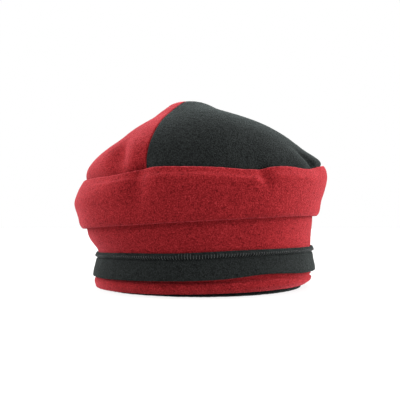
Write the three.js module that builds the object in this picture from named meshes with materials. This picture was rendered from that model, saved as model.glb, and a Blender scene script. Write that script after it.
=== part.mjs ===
// A soft fleece beanie standing on its rim: a two-coloured crown sewn from two halves, an upper
// side that slouches over the lower side, a sash stitched round the lower side, and a lining whose
// edge is turned out under the rim. Millimetres, +Z up, the front at -Y, the standing surface at Z = 0.
import * as THREE from "three";

// Thickness of the cloth, and the clearance of sewn pieces
const FLEECE = 2.2;
const SASH_CLOTH = 2.1;
const LINING_CLOTH = 1.8;
const LIP_CLOTH = 1;
const SEAM_GAP = 0.35;

// Width of an edge folded double, the upper side's lip, which rises from the crown and drops on the outside,
// depth of the crown's sewn edge, and the ridge above the sash's stitches
const FOLD_WIDTH = 5;
const LIP = { width: 4.2, rise: 2.5, drop: 1.5 };
const SEAM_ALLOWANCE = 5;
const RIDGE = { height: 3.6, spread: 1.3 };

// The folds fade out below this height, where the hem stands level on the surface
const STANDING = 10;

// Fineness of the facets
const COLUMNS = 60;
const ROUND = Array.from({ length: COLUMNS }, (_, i) => (i / COLUMNS) * Math.PI * 2);

// The crown's peak, the upright plane through it that holds the seam between the two halves, and the bow
// of the seam to the left of that plane between two heights
const PEAK = new THREE.Vector3(-5.8, 0, 163.2);
const SEAM_SLANT = 0.395;
const SEAM_BOW = { depth: 3.4, from: 108, to: 156 };

// Colours
const RED = 0x9c1f2b;
const BLACK = 0x25292a;

// A section is one ring of the cloth's right side: how far it reaches and how high it stands at its
// left, right, front and back, and how thick the wall is there.
const SECTION = ["left", "right", "front", "back", "zLeft", "zRight", "zFront", "zBack", "thick"];

const LOWER_SIDE = table(SECTION, {
  foot: [-92.2, 92.6, -91.8, 91.8, 0.4, 3.4, 2.4, 2.2, 2.4],
  roll: [-93.4, 96.9, -94.8, 95.0, 5.0, 7.0, 6.4, 6.0, 4.2],
  hem: [-92.2, 96.8, -93.1, 93.3, 10.0, 12.5, 11.5, 11.0, 3.2],
  tucked: [-90.8, 95.4, -92.6, 92.8, 17.0, 19.0, 18.0, 17.5, 2.4],
  pinch: [-89.9, 96.4, -92.3, 92.5, 24.6, 30.0, 28.7, 28.0, FLEECE],
  waist: [-91.3, 97.0, -93.4, 93.6, 31.0, 36.0, 36.0, 34.5, FLEECE],
  swell: [-97.8, 97.2, -95.6, 95.8, 40.0, 46.0, 44.5, 44.0, FLEECE],
  tuck: [-100.4, 98.0, -97.8, 97.8, 47.5, 58.0, 54.5, 54.0, FLEECE],
  top: [-100.6, 98.2, -98.4, 98.4, 58.0, 68.0, 64.5, 64.0, FLEECE],
});

const UPPER_WALL = table(SECTION, {
  fold: [-103.4, 101.0, -101.2, 101.2, 49.0, 60.2, 55.0, 55.0, FLEECE],
  low: [-108.3, 105.6, -106.5, 106.5, 60.0, 72.0, 67.0, 67.0, FLEECE],
  widest: [-111.2, 109.6, -108.4, 108.4, 70.5, 84.0, 79.0, 79.0, FLEECE],
  high: [-107.8, 111.2, -108.0, 108.0, 81.0, 93.0, 87.0, 88.0, FLEECE],
});

const CROWN = table(SECTION, {
  crease: [-101.9, 105.8, -100.6, 100.8, 85.6, 100.3, 92.0, 96.0, FLEECE],
  shoulder: [-100.6, 106.0, -97.6, 98.2, 99.0, 106.5, 103.0, 105.0, FLEECE],
  low: [-89.0, 94.6, -92.4, 92.4, 114.0, 115.0, 115.0, 115.0, FLEECE],
  middle: [-69.5, 75.6, -80.5, 79.0, 128.0, 128.0, 128.5, 128.5, FLEECE],
  high: [-49.8, 50.5, -60.5, 58.5, 142.0, 142.0, 142.0, 142.0, FLEECE],
  neck: [-35.8, 21.2, -37.0, 35.0, 153.0, 152.5, 153.2, 153.0, FLEECE],
  knob: [-26.8, 7.2, -20.0, 18.0, 160.0, 159.8, 160.4, 160.0, FLEECE],
});

const SASH = table(SECTION, {
  hem: [-94.9, 100.6, -97.2, 97.2, 9.8, 15.0, 13.2, 11.0, 1.5],
  skirt: [-94.7, 100.5, -97.0, 97.0, 12.8, 17.8, 15.8, 14.0, SASH_CLOTH],
  middle: [-93.6, 99.6, -96.0, 96.0, 18.2, 23.0, 21.0, 20.0, SASH_CLOTH],
});

const LINING = table(SECTION, {
  top: [-85.2, 90.2, -87.8, 88.0, 21.5, 26.5, 26.0, 25.0, LINING_CLOTH],
  wall: [-85.8, 89.4, -87.8, 88.0, 10.0, 10.0, 10.0, 10.0, LINING_CLOTH],
  turn: [-86.6, 84.4, -86.8, 87.0, 3.0, 3.0, 3.0, 3.0, LINING_CLOTH],
  lip: [-86.4, 84.3, -86.4, 86.6, 0, 0, 0, 0, LIP_CLOTH],
  edge: [-88.7, 87.4, -90.2, 89.4, 0, 0, 0, 0, LIP_CLOTH],
});

// Dents, bulges and waves in the soft walls. Azimuth counts from the front towards the right, and lean
// is its change with height; width is in degrees, height and reach in millimetres.
const FOLD = ["azimuth", "lean", "width", "height", "reach", "inward", "lift"];

const FOLDS = table(FOLD, {
  leftEdgeRise: [-66, 0, 11, 90, 10, 0.3, 1.9],
  frontEdgeRise: [-20, 0, 9, 94, 9, -0.6, 2.4],
  frontRightDip: [21.5, 0, 10, 94, 9, 0.3, -4.4],
  rightEdgeDip: [51.5, 0, 9.5, 98, 9, 0, -4.2],
  rightEdgeRise: [84, 0, 9, 99.5, 4, 0, 2.0],
  backEdgeRise: [165, 0, 12, 97, 9, 0, 1.8],
  backEdgeDip: [-160, 0, 11, 97, 9, 0, -2.2],
  frontLeftHollow: [-25.5, 0, 4.5, 84, 13, 2.4, 0],
  frontRightNotch: [26, 0, 4.5, 90, 6, 1.2, 0],
  backRightHollow: [128, 0, 9, 82, 13, 2.4, 0],
  backLeftHollow: [-140, 0, 8, 84, 12, 2, 0],
  rightCrownPleat: [58, -0.4, 5, 105, 7, 1.6, 0],
  rightCrownBulge: [49, -0.4, 4.5, 105, 7, -0.8, 0],
  rightCrownRoll: [69, -0.4, 6, 106, 8, -0.6, 0],
  leftCrownHollow: [-42, -0.27, 4.8, 108, 9.5, 2.8, 0],
  leftCrownBulge: [-31, -0.25, 5, 108, 11, -1.2, 0],
  leftCrownRoll: [-54, -0.27, 7, 110, 10, -1.2, 0],
  leftSlopeSwell: [-80, 0, 25, 134, 6, -1.2, 0],
  leftSlopeDent: [-80, 0, 25, 121, 6, 2.1, 0],
  rightSlopeSwell: [82, 0, 24, 135, 7, -1.3, 0],
  rightSlopeDent: [82, 0, 24, 117, 6, 1.2, 0],
  rightPeakDent: [45, 0, 20, 146, 4, 0.8, 0],
  leftPeakDent: [-70, 0, 30, 145.5, 2.8, 1, 0],
  sashTopDip: [-10, 0, 14, 29, 7, 0, -1],
  sashHemRise: [31, 0, 12, 14, 6, 0, 2.5],
});

function table(columns, rows) {
  const named = (values) => Object.fromEntries(columns.map((column, i) => [column, values[i]]));
  return Object.fromEntries(Object.entries(rows).map(([name, values]) => [name, named(values)]));
}

// A section pushed outwards all round and raised
function grow(section, outwards, up = 0) {
  return {
    left: section.left - outwards,
    right: section.right + outwards,
    front: section.front - outwards,
    back: section.back + outwards,
    zLeft: section.zLeft + up,
    zRight: section.zRight + up,
    zFront: section.zFront + up,
    zBack: section.zBack + up,
    thick: section.thick,
  };
}

// One section's reach with the heights of another
function atHeightOf(section, level, up = 0) {
  const { zLeft, zRight, zFront, zBack } = grow(level, 0, up);
  return { ...section, zLeft, zRight, zFront, zBack };
}

function ellipseOf({ left, right, front, back }) {
  return {
    centreX: (left + right) / 2,
    centreY: (front + back) / 2,
    halfWidth: (right - left) / 2,
    halfDepth: (back - front) / 2,
  };
}

// A point of a section, at an angle counted anticlockwise from +X
function ringPoint(section, angle) {
  const { centreX, centreY, halfWidth, halfDepth } = ellipseOf(section);
  const { zLeft, zRight, zFront, zBack } = section;
  const cosine = Math.cos(angle);
  const sine = Math.sin(angle);
  const mean = (zLeft + zRight + zFront + zBack) / 4;
  const saddle = (zLeft + zRight - zFront - zBack) / 4;
  const tilt = ((zRight - zLeft) / 2) * cosine + ((zBack - zFront) / 2) * sine;
  return new THREE.Vector3(
    centreX + halfWidth * cosine,
    centreY + halfDepth * sine,
    mean + tilt + saddle * Math.cos(2 * angle),
  );
}

// Presses the dents and waves into a point
function crumple(point) {
  const azimuth = THREE.MathUtils.radToDeg(Math.atan2(point.x, -point.y));
  let inward = 0;
  let lift = 0;
  for (const fold of Object.values(FOLDS)) {
    const rise = point.z - fold.height;
    const turn = azimuth - fold.azimuth - fold.lean * rise;
    const aside = THREE.MathUtils.euclideanModulo(turn + 180, 360) - 180;
    const weight = Math.exp(-0.5 * ((aside / fold.width) ** 2 + (rise / fold.reach) ** 2));
    inward += fold.inward * weight;
    lift += fold.lift * weight;
  }
  const free = THREE.MathUtils.smoothstep(point.z, 0, STANDING);
  const radius = Math.hypot(point.x, point.y);
  const scale = 1 - (inward * free) / radius;
  return new THREE.Vector3(point.x * scale, point.y * scale, point.z + lift * free);
}

// The rows of points of a sheet through its sections: rows run along the cloth, columns round it
function sheetRows({ sections, anglesOf, stepsPerSpan, tip = [] }) {
  const angles = sections.map(anglesOf);
  const spans = sections.length - 1 + tip.length;
  const steps = spans * stepsPerSpan;
  const columns = angles[0].map((_, column) => {
    const knots = sections.map((section, i) => ringPoint(section, angles[i][column]));
    const curve = new THREE.CatmullRomCurve3([...knots, ...tip], false, "centripetal");
    return Array.from({ length: steps + 1 }, (_, i) => crumple(curve.getPoint(i / steps)));
  });
  const thick = [...sections.map((section) => section.thick), ...tip.map(() => FLEECE)];
  return Array.from({ length: steps + 1 }, (_, i) => {
    const span = Math.min(Math.floor(i / stepsPerSpan), spans - 1);
    const share = i / stepsPerSpan - span;
    return {
      points: columns.map((column) => column[i]),
      thick: THREE.MathUtils.lerp(thick[span], thick[span + 1], share),
    };
  });
}

// The direction that the right side of the cloth faces at one point of the rows
function facing(rows, row, column, closed) {
  const count = rows[row].points.length;
  const at = (i, j) => {
    const wrapped = closed ? (j + count) % count : THREE.MathUtils.clamp(j, 0, count - 1);
    return rows[THREE.MathUtils.clamp(i, 0, rows.length - 1)].points[wrapped];
  };
  const along = at(row + 1, column).clone().sub(at(row - 1, column));
  const round = at(row, column + 1).clone().sub(at(row, column - 1));
  return round.cross(along).normalize();
}

// A closed wall: the right side on the rows, the wrong side a thickness behind it, and the edges between
function wall(rows, { closed = true, tip = null } = {}) {
  const count = rows[0].points.length;
  const gridRows = tip ? rows.length - 1 : rows.length;
  const positions = [];
  const right = [];
  const wrong = [];
  const addVertex = (point) => positions.push(point.x, point.y, point.z) / 3 - 1;
  for (let i = 0; i < gridRows; i += 1) {
    const normals = rows[i].points.map((_, j) => facing(rows, i, j, closed));
    const behind = (point, j) => point.clone().addScaledVector(normals[j], -rows[i].thick);
    right.push(rows[i].points.map(addVertex));
    wrong.push(rows[i].points.map((point, j) => addVertex(behind(point, j))));
  }
  if (tip) {
    const lower = tip.clone().setZ(tip.z - FLEECE);
    right.push(new Array(count).fill(addVertex(tip)));
    wrong.push(new Array(count).fill(addVertex(lower)));
  }

  const triangles = [];
  const addTriangle = (a, b, c) => {
    if (a !== b && b !== c && c !== a) {
      triangles.push(a, b, c);
    }
  };
  const addQuad = (a, b, c, d) => {
    addTriangle(a, b, c);
    addTriangle(a, c, d);
  };
  const last = right.length - 1;
  for (let j = 0; j < (closed ? count : count - 1); j += 1) {
    const next = (j + 1) % count;
    for (let i = 0; i < last; i += 1) {
      addQuad(right[i][j], right[i][next], right[i + 1][next], right[i + 1][j]);
      addQuad(wrong[i][next], wrong[i][j], wrong[i + 1][j], wrong[i + 1][next]);
    }
    addQuad(wrong[0][j], wrong[0][next], right[0][next], right[0][j]);
    if (!tip) {
      addQuad(right[last][j], right[last][next], wrong[last][next], wrong[last][j]);
    }
  }
  if (!closed) {
    const end = count - 1;
    for (let i = 0; i < last; i += 1) {
      addQuad(wrong[i][0], right[i][0], right[i + 1][0], wrong[i + 1][0]);
      addQuad(right[i][end], wrong[i][end], wrong[i + 1][end], right[i + 1][end]);
    }
  }

  const geometry = new THREE.BufferGeometry();
  geometry.setAttribute("position", new THREE.Float32BufferAttribute(positions, 3));
  geometry.setIndex(triangles);
  geometry.computeVertexNormals();
  return geometry;
}

// A piece that goes all the way round the head
function ring(sections, stepsPerSpan) {
  return wall(sheetRows({ sections, anglesOf: () => ROUND, stepsPerSpan }));
}

// How far the seam bows to the left of its plane in a section
function seamBow({ zLeft, zRight, zFront, zBack }) {
  const mean = (zLeft + zRight + zFront + zBack) / 4;
  const share = THREE.MathUtils.clamp((mean - SEAM_BOW.from) / (SEAM_BOW.to - SEAM_BOW.from), 0, 1);
  return SEAM_BOW.depth * Math.sin(Math.PI * share ** 2);
}

// The two angles at which the seam crosses a section
function seamAngles(section) {
  const { centreX, centreY, halfWidth, halfDepth } = ellipseOf(section);
  const across = SEAM_SLANT * halfDepth;
  const reach = Math.hypot(halfWidth, across);
  const turn = Math.atan2(across, halfWidth);
  const offset = SEAM_SLANT * (centreY - PEAK.y) - (centreX - PEAK.x) - seamBow(section);
  const half = Math.acos(offset / reach);
  const clearance = SEAM_GAP / 2 / Math.min(halfWidth, halfDepth);
  return { front: -turn - half, back: -turn + half, clearance };
}

// The span of angles of one half of the crown in a section, from seam to seam
function halfSpan(section, isRight) {
  const { front, back, clearance } = seamAngles(section);
  const from = isRight ? front : back;
  const to = isRight ? back : front + Math.PI * 2;
  return { from: from + clearance, to: to - clearance };
}

// Half of the crown, from the upper side up to the peak. Its columns follow those of the upper side where
// the two are sewn together, and spread with the seam above that.
function crownHalf(sections, isRight) {
  const sewn = halfSpan(CROWN.crease, isRight);
  const turns = [-Math.PI * 2, 0].flatMap((turn) => ROUND.map((angle) => angle + turn));
  const between = turns.filter((angle) => angle > sewn.from && angle < sewn.to);
  const shares = [sewn.from, ...between, sewn.to].map((angle) => (angle - sewn.from) / (sewn.to - sewn.from));
  const anglesOf = (section) => {
    const { from, to } = halfSpan(section, isRight);
    return shares.map((share) => THREE.MathUtils.lerp(from, to, share));
  };
  const acrossSeam = new THREE.Vector3(1, -SEAM_SLANT, 0).normalize();
  const tip = PEAK.clone().addScaledVector(acrossSeam, (isRight ? 1 : -1) * (SEAM_GAP / 2));
  const rows = sheetRows({ sections, anglesOf, stepsPerSpan: 2, tip: [tip] });
  return wall(rows, { closed: false, tip });
}

function crownSections() {
  const hidden = grow(CROWN.crease, 0, -SEAM_ALLOWANCE);
  return [hidden, ...Object.values(CROWN)];
}

// From the flap behind the lower fold, round the fold, up the outside and over the top edge to the crown
function upperSideSections() {
  const flap = grow(LOWER_SIDE.top, SEAM_GAP);
  const turn = FOLD_WIDTH / 2;
  const lip = grow(CROWN.crease, SEAM_GAP);
  return [
    flap,
    atHeightOf(flap, UPPER_WALL.fold, turn),
    UPPER_WALL.fold,
    atHeightOf(grow(flap, FOLD_WIDTH), UPPER_WALL.fold, turn),
    UPPER_WALL.low,
    UPPER_WALL.widest,
    UPPER_WALL.high,
    grow(lip, LIP.width, -LIP.drop),
    grow(lip, LIP.width / 2, LIP.rise),
    lip,
    grow(lip, 0, -SEAM_ALLOWANCE),
  ];
}

// Flared below the stitched pinch, with a narrow ridge standing off above it
function sashSections() {
  const pinch = { ...grow(LOWER_SIDE.pinch, SEAM_GAP + SASH_CLOTH), thick: SASH_CLOTH };
  const ridge = grow(pinch, RIDGE.spread, RIDGE.height);
  return [...Object.values(SASH), pinch, grow(pinch, RIDGE.spread / 3, RIDGE.height / 2), ridge];
}

function piece(name, geometry, color) {
  const material = new THREE.MeshStandardMaterial({ color, roughness: 0.95, metalness: 0 });
  const mesh = new THREE.Mesh(geometry, material);
  mesh.name = name;
  return mesh;
}

const beanie = new THREE.Group();
beanie.add(
  piece("crown_left", crownHalf(crownSections(), false), RED),
  piece("crown_right", crownHalf(crownSections(), true), BLACK),
  piece("upper_side", ring(upperSideSections(), 1), RED),
  piece("lower_side", ring(Object.values(LOWER_SIDE), 1), RED),
  piece("sash", ring(sashSections(), 1), BLACK),
  piece("lining", ring(Object.values(LINING), 1), BLACK),
);

export default beanie;
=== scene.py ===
"""Looks of a soft fleece beanie standing on its rim.

The crown is sewn from a red and a black half, the red upper side slouches over the lower side, a black
sash is stitched round the lower side, and a black lining is turned out under the rim. Each piece of cloth
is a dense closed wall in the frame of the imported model, with rounded edges, folds, sewn seams and a nap.
Sizes in the classes are in millimetres, except where a note says metres, and the meshes are in metres.
"""

import logging
import math
from dataclasses import dataclass, replace
from enum import Enum

import bmesh
import bpy
import numpy as np
from mathutils import Euler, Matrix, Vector


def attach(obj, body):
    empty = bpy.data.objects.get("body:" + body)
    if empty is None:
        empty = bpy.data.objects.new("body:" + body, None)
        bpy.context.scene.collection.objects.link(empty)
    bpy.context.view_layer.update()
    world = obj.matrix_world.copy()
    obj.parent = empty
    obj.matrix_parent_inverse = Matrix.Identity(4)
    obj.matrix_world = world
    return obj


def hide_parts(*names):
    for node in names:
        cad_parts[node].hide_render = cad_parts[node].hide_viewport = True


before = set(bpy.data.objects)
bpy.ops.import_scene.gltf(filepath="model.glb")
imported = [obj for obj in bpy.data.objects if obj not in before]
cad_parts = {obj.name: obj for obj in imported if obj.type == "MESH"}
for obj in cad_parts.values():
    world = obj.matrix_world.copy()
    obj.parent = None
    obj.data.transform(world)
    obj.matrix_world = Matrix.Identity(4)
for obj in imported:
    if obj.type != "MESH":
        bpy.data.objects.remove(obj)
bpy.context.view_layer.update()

LOG = logging.getLogger("beanie")
BODY = "root"
MM = 0.001
FULL_TURN = 2 * math.pi
UPWARDS = (0.0, 0.0, 1.0)
WHITE = (1.0, 1.0, 1.0, 1.0)

# Thickness of the cloths and of the lining's turned edge, and the clearance of sewn pieces
FLEECE = 2.2
SASH_CLOTH = 2.1
LINING_CLOTH = 1.8
LIP_CLOTH = 1.0
SEAM_GAP = 0.35

# Depth of the crown's edge that is sewn to the upper side
SEAM_ALLOWANCE = 5.0

# Lowest height of the cloth, which lies flat where it meets the surface
STANDING_LEVEL = 0.02

# Name of the nap's height on the meshes, and its value where the cloth has no tufts
NAP = "nap"
PLAIN_NAP = 0.5

# Places of the sewn sections in the lists of the lower side, the sash and the crown
HEM_SECTION = 2
TUCK_SECTION = -2
STITCHED_SECTION = -3
SEWN_SECTION = 1

# Whole numbers that mix the lattice points of the noise
AXIS_PRIMES = (73856093, 19349663, 83492791)
SEED_PRIME = 2654435
MIX_PRIME = 2246822519
MIX_SHIFTS = (15, 13, 16)
LAST_SHIFT = 15
HALF_RANGE = 2147483647.5

# Length below which a direction is lost, and the distance in metres that merges points
TINY = 1e-9
MERGE_DISTANCE = 1e-6

# Least parameter between two knots of a curve, and least number of steps from one to the next
LEAST_GAP = 1e-3
LEAST_STEPS = 2

Colour = tuple[float, float, float]
Point = tuple[float, float, float]
Faces = list[list[int]]


class Cloth(Enum):
    """The two fleeces, by the name of their slot in the record."""

    RED = "red_fleece"
    BLACK = "black_fleece"


class Hold(Enum):
    """How a sheet of cloth is held in the hat."""

    STRETCHED = "stretched"
    FOLDED = "folded"


class Half(Enum):
    """The two halves of the crown, by the side of the seam that they lie on."""

    LEFT = -1
    RIGHT = 1


def unit(vectors: np.ndarray) -> np.ndarray:
    """Makes vectors one long, apart from those that have no length."""
    return vectors / np.maximum(np.linalg.norm(vectors, axis=-1, keepdims=True), TINY)


def eased(distance: np.ndarray, reach: float) -> np.ndarray:
    """Rises smoothly from 0 to 1 while a distance grows from 0 to a reach."""
    share = np.clip(distance / reach, 0, 1)
    return share * share * (3 - 2 * share)


def groove(distance: np.ndarray, width: float) -> np.ndarray:
    """Says how far a sewn line draws the cloth in, from 1 on the line to 0 away from it."""
    return np.exp(-((distance / width) ** 2))


def facing(direction: Vector) -> Euler:
    """Turns a camera or a light, which looks down, to face along a direction."""
    return direction.to_track_quat("-Z", "Y").to_euler()


def add_object(name: str, data: bpy.types.ID) -> bpy.types.Object:
    """Puts an object into the scene.

    Args:
        name: name of the object.
        data: its mesh, light or lens.

    Returns:
        The object.
    """
    thing = bpy.data.objects.new(name, data)
    bpy.context.scene.collection.objects.link(thing)
    return thing


@dataclass(frozen=True)
class Grain:
    """Smooth noise in space that is the same on every run.

    Attributes:
        size: distance between the noise's lattice points, in millimetres.
        seed: number that tells one grain from another.
    """

    size: float
    seed: int

    def at(self, points: np.ndarray) -> np.ndarray:
        """Reads the noise at points.

        Args:
            points: array of points in millimetres, with coordinates on the last axis.

        Returns:
            Array of values from -1 to 1, without the last axis.
        """
        scaled = points / self.size
        cell = np.floor(scaled)
        share = scaled - cell
        share = share * share * share * (share * (share * 6 - 15) + 10)
        value = np.zeros(points.shape[:-1])
        for corner in np.ndindex(2, 2, 2):
            offset = np.array(corner)
            weight = np.prod(np.where(offset == 1, share, 1 - share), axis=-1)
            value += weight * self._lattice(cell + offset)
        return value

    def between(self, points: np.ndarray, limits: tuple[float, float], span: float = 1.0) -> np.ndarray:
        """Reads the noise at points as values between two limits, which it meets at -span and span."""
        return np.interp(self.at(points), (-span, span), limits)

    def _lattice(self, cell: np.ndarray) -> np.ndarray:
        """Mixes whole lattice coordinates into values.

        Args:
            cell: array of whole coordinates, on the last axis.

        Returns:
            Array of values from -1 to 1, without the last axis.
        """
        whole = cell.astype(np.int64).astype(np.uint32)
        mixed = np.full(whole.shape[:-1], self.seed * SEED_PRIME, np.uint32)
        for axis, prime in enumerate(AXIS_PRIMES):
            mixed ^= whole[..., axis] * np.uint32(prime)
        for shift in MIX_SHIFTS:
            mixed ^= mixed >> np.uint32(shift)
            mixed *= np.uint32(MIX_PRIME)
        mixed ^= mixed >> np.uint32(LAST_SHIFT)
        return mixed.astype(np.float64) / HALF_RANGE - 1


@dataclass(frozen=True)
class Section:
    """One ring of the right side of a cloth wall.

    Attributes:
        left, right, front, back: how far the ring reaches on each side.
        z_left, z_right, z_front, z_back: how high it stands on each side.
        thick: thickness of the wall there.
    """

    left: float
    right: float
    front: float
    back: float
    z_left: float
    z_right: float
    z_front: float
    z_back: float
    thick: float = FLEECE

    @property
    def centre(self) -> tuple[float, float]:
        """Middle of the ring, seen from above."""
        return (self.left + self.right) / 2, (self.front + self.back) / 2

    @property
    def half_axes(self) -> tuple[float, float]:
        """Half the ring's width and half its depth."""
        return (self.right - self.left) / 2, (self.back - self.front) / 2

    @property
    def mean_height(self) -> float:
        """Mean of the heights on the four sides."""
        return (self.z_left + self.z_right + self.z_front + self.z_back) / 4

    def grown(self, outwards: float, up: float = 0.0) -> "Section":
        """Makes the same ring pushed outwards all round and raised.

        Args:
            outwards: distance that each side moves out.
            up: distance that each side moves up.

        Returns:
            The new section.
        """
        return replace(
            self.at_height_of(self, up),
            left=self.left - outwards,
            right=self.right + outwards,
            front=self.front - outwards,
            back=self.back + outwards,
        )

    def at_height_of(self, level: "Section", up: float = 0.0) -> "Section":
        """Makes a ring with this reach and the heights of another.

        Args:
            level: section that gives the heights.
            up: distance to raise them by.

        Returns:
            The new section.
        """
        return replace(
            self,
            z_left=level.z_left + up,
            z_right=level.z_right + up,
            z_front=level.z_front + up,
            z_back=level.z_back + up,
        )

    def points(self, angles: np.ndarray) -> np.ndarray:
        """Places points on the ring.

        Args:
            angles: angles counted anticlockwise from +X, in radians.

        Returns:
            Array of points, one row for each angle.
        """
        (centre_x, centre_y), (half_width, half_depth) = self.centre, self.half_axes
        saddle = (self.z_left + self.z_right - self.z_front - self.z_back) / 4
        tilt_across = (self.z_right - self.z_left) / 2 * np.cos(angles)
        tilt_along = (self.z_back - self.z_front) / 2 * np.sin(angles)
        height = self.mean_height + tilt_across + tilt_along + saddle * np.cos(2 * angles)
        across = centre_x + half_width * np.cos(angles)
        along = centre_y + half_depth * np.sin(angles)
        return np.stack([across, along, height], axis=-1)


@dataclass(frozen=True)
class CrownSeam:
    """The upright plane through the peak that holds the seam between the halves of the crown.

    Attributes:
        peak: top of the crown.
        slant: how far to the right the plane runs for each millimetre towards the back.
        bow: how far to the left of the plane the seam bows.
        bow_from, bow_to: heights that it bows between.
        gap: clearance between the halves.
    """

    peak: Point = (-5.8, 0.0, 163.2)
    slant: float = 0.395
    bow: float = 3.4
    bow_from: float = 108.0
    bow_to: float = 156.0
    gap: float = 0.03

    def bow_at(self, section: Section) -> float:
        """Measures how far the seam bows to the left of its plane in a section."""
        share = np.clip((section.mean_height - self.bow_from) / (self.bow_to - self.bow_from), 0, 1)
        return self.bow * math.sin(math.pi * share**2)

    def span(self, section: Section, half: Half) -> tuple[float, float]:
        """Finds the angles of one half of the crown in a section, from seam to seam.

        Args:
            section: ring that the seam crosses.
            half: half of the crown.

        Returns:
            The first and the last angle, in radians.
        """
        (centre_x, centre_y), (half_width, half_depth) = section.centre, section.half_axes
        across = self.slant * half_depth
        turn = math.atan2(across, half_width)
        offset = self.slant * (centre_y - self.peak[1]) - (centre_x - self.peak[0]) - self.bow_at(section)
        half_angle = math.acos(offset / math.hypot(half_width, across))
        clearance = self.gap / 2 / min(half_width, half_depth)
        front, back = -turn - half_angle, -turn + half_angle
        if half is Half.RIGHT:
            return front + clearance, back - clearance
        return back + clearance, front + FULL_TURN - clearance

    def tip(self, half: Half) -> np.ndarray:
        """Places the point of a half at the peak, clear of the other half."""
        across = np.array([1.0, -self.slant, 0.0]) / math.hypot(1.0, self.slant)
        return np.array(self.peak) + across * half.value * self.gap / 2


@dataclass(frozen=True)
class Fold:
    """A dent, bulge or wave in the soft walls.

    Attributes:
        azimuth: its place round the hat in degrees, from the front towards the right.
        lean: change of the azimuth with height, in degrees for each millimetre.
        width: its spread round the hat, in degrees.
        height: its place up the hat.
        reach: its spread up the hat.
        inward: how deep it presses in.
        lift: how far it raises the cloth.
    """

    azimuth: float
    lean: float
    width: float
    height: float
    reach: float
    inward: float
    lift: float

    def weight(self, azimuth: np.ndarray, height: np.ndarray) -> np.ndarray:
        """Says how strongly the fold works at points.

        Args:
            azimuth: azimuths of the points, in degrees.
            height: heights of the points.

        Returns:
            Array of weights from 0 to 1.
        """
        rise = height - self.height
        aside = (azimuth - self.azimuth - self.lean * rise + 180) % 360 - 180
        return np.exp(-0.5 * ((aside / self.width) ** 2 + (rise / self.reach) ** 2))


@dataclass(frozen=True)
class SoftForm:
    """The folds of the whole hat, and the slight waviness of its cloth.

    Attributes:
        folds: dents, bulges and waves.
        standing: height below which the hem stands level on the surface.
        wave: depth of the waviness.
        wave_grain: noise that gives the waviness.
        least_radius: distance from the middle of the hat within which the dents fade out.
    """

    folds: tuple[Fold, ...] = (
        # Waves of the upper side's top edge
        Fold(-66, 0, 11, 90, 10, 0.3, 1.9),
        Fold(-20, 0, 9, 94, 9, -0.6, 2.4),
        Fold(21.5, 0, 10, 94, 9, 0.3, -4.4),
        Fold(51.5, 0, 9.5, 98, 9, 0, -4.2),
        Fold(84, 0, 9, 99.5, 4, 0, 2.0),
        Fold(165, 0, 12, 97, 9, 0, 1.8),
        Fold(-160, 0, 11, 97, 9, 0, -2.2),
        # Hollows and creases down the upper side
        Fold(-25.5, 0, 4.5, 84, 13, 2.4, 0),
        Fold(-26, 0, 2.4, 81, 13, 2.4, 0),
        Fold(-18, 0, 3.5, 88, 8, -0.9, 0),
        Fold(26, 0, 4.5, 90, 6, 1.2, 0),
        Fold(25.6, -0.1, 1.8, 91, 5.5, 2.4, -1.2),
        Fold(30.5, 0, 3, 90, 6, -0.9, 0.5),
        Fold(21.5, 0, 2.8, 88, 6, -1.1, 0),
        Fold(128, 0, 9, 82, 13, 2.4, 0),
        Fold(-140, 0, 8, 84, 12, 2, 0),
        # Soft forms of the crown's right and left
        Fold(58, -0.4, 5, 105, 7, 1.6, 0),
        Fold(49, -0.4, 4.5, 105, 7, -0.8, 0),
        Fold(69, -0.4, 6, 106, 8, -0.6, 0),
        Fold(-42, -0.27, 4.8, 108, 9.5, 2.8, 0),
        Fold(-31, -0.25, 5, 108, 11, -1.2, 0),
        Fold(-54, -0.27, 7, 110, 10, -1.2, 0),
        # Swells of the crown's slopes
        Fold(-80, 0, 25, 134, 6, -1.2, 0),
        Fold(-80, 0, 25, 121, 6, 2.1, 0),
        Fold(82, 0, 24, 135, 7, -1.3, 0),
        Fold(82, 0, 24, 117, 6, 1.2, 0),
        Fold(45, 0, 20, 146, 4, 0.8, 0),
        Fold(-70, 0, 30, 145.5, 2.8, 1.0, 0),
        # Waves of the sash's edges
        Fold(-10, 0, 14, 29, 7, 0, -1),
        Fold(31, 0, 12, 14, 6, 0, 2.5),
    )
    standing: float = 10.0
    wave: float = 0.5
    wave_grain: Grain = Grain(30.0, 11)
    least_radius: float = 12.0

    def press(self, points: np.ndarray) -> np.ndarray:
        """Presses the folds and the waviness into points.

        Args:
            points: array of points, with coordinates on the last axis.

        Returns:
            Array of moved points.
        """
        x, y, z = np.moveaxis(points, -1, 0)
        azimuth = np.degrees(np.arctan2(x, -y))
        inward = self.wave * self.wave_grain.at(points)
        lift = np.zeros_like(z)
        for fold in self.folds:
            weight = fold.weight(azimuth, z)
            inward = inward + fold.inward * weight
            lift = lift + fold.lift * weight
        free = eased(z, self.standing)
        radius = np.maximum(np.hypot(x, y), self.least_radius)
        scale = 1 - inward * free / radius
        return np.stack([x * scale, y * scale, z + lift * free], axis=-1)


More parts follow.
